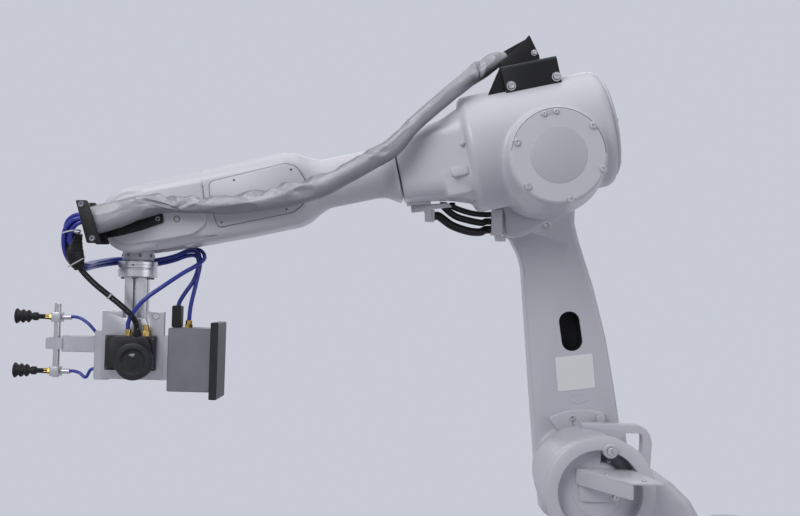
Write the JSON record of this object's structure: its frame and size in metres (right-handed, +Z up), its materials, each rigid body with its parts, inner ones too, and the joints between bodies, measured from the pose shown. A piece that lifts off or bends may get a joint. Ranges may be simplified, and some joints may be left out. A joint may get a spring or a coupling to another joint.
{
  "type": "industrial robot arm",
  "caption": "Floor-mounted jointed-arm robot with a sleeved hose along its forearm and a small pick tool with suction cups at the wrist",
  "frame": {"origin": "on axis 1 in the plane of the foot's underside", "axes": "+Z up along axis 1, +X forward in the plane of the arm, +Y to the robot's left; the rest pose is the pose of the picture"},
  "size_m": [1.636, 0.4813, 1.325],
  "materials": {
    "paint": "light grey satin paint with a faint lavender cast",
    "label": "bare white plate",
    "anodised": "grey anodised",
    "aluminium": "bare machined",
    "steel": "bright",
    "black_coat": "black satin powder coat",
    "charcoal": "matt charcoal",
    "rubber": "black rubber",
    "sleeve": "crinkled silver-grey woven sleeve",
    "blue_tube": "indigo polyurethane tube"
  },
  "bodies": {
    "base": {"base_casting": "paint", "connector_panel": "anodised", "power_plug": "charcoal", "signal_plug": "steel"},
    "turret": {"turret_casting": "paint", "axis1_motor": "paint", "axis2_motor": "paint", "lifting_ear": "paint", "motor_bracket": "paint"},
    "lower_arm": {"lower_arm_casting": "paint", "arm_cover_low": "paint", "arm_cover_high": "paint", "label_plate": "label", "bumper_pin": "rubber", "arm_clip": "anodised"},
    "housing": {"housing_casting": "paint", "axis3_cover": "paint", "cover_disc": "paint", "rear_cover": "paint", "hose_bridge": "black_coat", "hose_clamp": "black_coat", "housing_clip": "anodised", "harness_low": "rubber", "harness_mid": "rubber", "harness_top": "rubber"},
    "forearm": {"forearm_casting": "paint", "forearm_cover_near": "paint", "forearm_cover_far": "paint", "wrist_cover_near": "paint", "wrist_cover_far": "paint", "hose_end_bar": "black_coat", "hose_sleeve": "sleeve"},
    "wrist": {"tilt_housing": "paint", "tube_band": "rubber", "air_tube_a": "blue_tube", "air_tube_b": "blue_tube", "air_tube_c": "blue_tube"},
    "tool": {"tool_flange": "aluminium", "tool_adapter": "aluminium", "tool_post": "aluminium", "tool_plate": "anodised", "tool_block": "anodised", "camera_device": "charcoal", "cup_bar": "anodised", "cup_rod": "steel", "cup_upper": "rubber", "cup_lower": "rubber", "side_bar": "aluminium", "gripper_box": "anodised", "gripper_plate": "charcoal", "tool_connector": "rubber", "air_tube_d": "blue_tube", "air_tube_e": "blue_tube"}
  },
  "joints": [
    {"name": "axis_1", "type": "hinge", "parent": "base", "child": "turret", "pos_m": [0, 0, 0.19], "axis": [0, 0, 1], "range_deg": [-170, 170]},
    {"name": "axis_2", "type": "hinge", "parent": "turret", "child": "lower_arm", "pos_m": [0.15, 0, 0.45], "axis": [0, 1, 0], "range_deg": [-70, 70]},
    {"name": "axis_3", "type": "hinge", "parent": "lower_arm", "child": "housing", "pos_m": [0.24855, 0, 1.07224], "axis": [0, -1, 0], "range_deg": [-40, 90], "deforming": ["harness_low", "harness_mid", "harness_top"]},
    {"name": "axis_4", "type": "hinge", "parent": "housing", "child": "forearm", "pos_m": [0.2598, 0, 1.12096], "axis": [0.9744, 0, -0.225], "range_deg": [-120, 120], "deforming": ["hose_sleeve"]},
    {"name": "axis_5", "type": "hinge", "parent": "forearm", "child": "wrist", "pos_m": [1.04904, 0, 0.93875], "axis": [0, -1, 0], "range_deg": [-40, 100], "deforming": ["air_tube_a", "air_tube_b", "air_tube_c"]},
    {"name": "axis_6", "type": "hinge", "parent": "wrist", "child": "tool", "pos_m": [1.04904, 0, 0.86], "axis": [0, 0, 1], "range_deg": [-120, 120], "deforming": ["air_tube_d", "air_tube_e"]}
  ]
}
